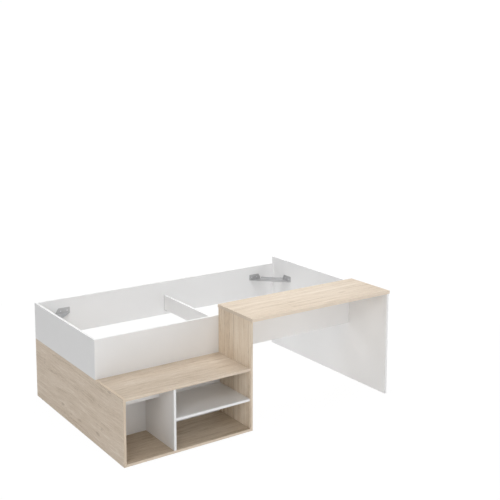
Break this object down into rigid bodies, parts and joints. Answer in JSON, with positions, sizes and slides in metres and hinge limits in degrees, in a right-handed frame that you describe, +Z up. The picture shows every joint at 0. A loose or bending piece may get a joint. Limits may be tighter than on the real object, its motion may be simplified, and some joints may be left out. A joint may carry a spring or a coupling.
{
  "type": "cabin bed",
  "caption": "Low cabin bed: white-sided mattress well on an oak-look open cabinet, with a desk top over the front rail.",
  "frame": {"origin": "bottom centre of the whole bed's box, on the floor", "axes": "+X along the bed from the cabinet end to the desk end, +Y from the desk's front to the back rail, +Z up"},
  "size_m": [2.045, 1.346, 0.742],
  "materials": {
    "oak_board": "matt oak-look melamine",
    "oak_band": "matt oak-look edge band",
    "white_board": "satin white melamine on chipboard",
    "white_band": "satin white edge band",
    "grey_steel": "galvanised, half dull",
    "zinc_steel": "zinc plated",
    "zinc_casting": "raw zinc die casting",
    "white_plastic": "moulded, matt",
    "beech": "raw fluted beech"
  },
  "bodies": {
    "root": {"left_side_lower": "oak_board", "left_side_upper": "white_board", "right_end_panel": "white_board", "tall_side_panel": "oak_board", "front_rail": "white_board", "back_rail": "white_board", "bench_top": "oak_board", "cabinet_bottom": "oak_board", "cabinet_divider": "white_board", "cabinet_shelf": "white_board", "cabinet_back": "white_board", "cabinet_stiffener": "white_board", "desk_top": "oak_board", "cross_member": "white_board", "oak_edge_bands": "oak_band", "white_edge_bands": "white_band", "corner_bracket_front_left": "grey_steel", "corner_bracket_front_right": "grey_steel", "corner_bracket_back_left": "grey_steel", "corner_bracket_back_right": "grey_steel", "cross_hanger_front": "grey_steel", "cross_hanger_back": "grey_steel", "wooden_dowels": "beech", "connecting_bolts": "zinc_steel", "cam_nuts": "zinc_casting", "cam_caps": "white_plastic", "confirmat_screws": "zinc_steel", "confirmat_caps": "white_plastic", "bracket_screws": "zinc_steel", "hanger_screws": "zinc_steel", "cross_member_screws": "zinc_steel", "shelf_pins": "zinc_steel"}
  },
  "joints": []
}
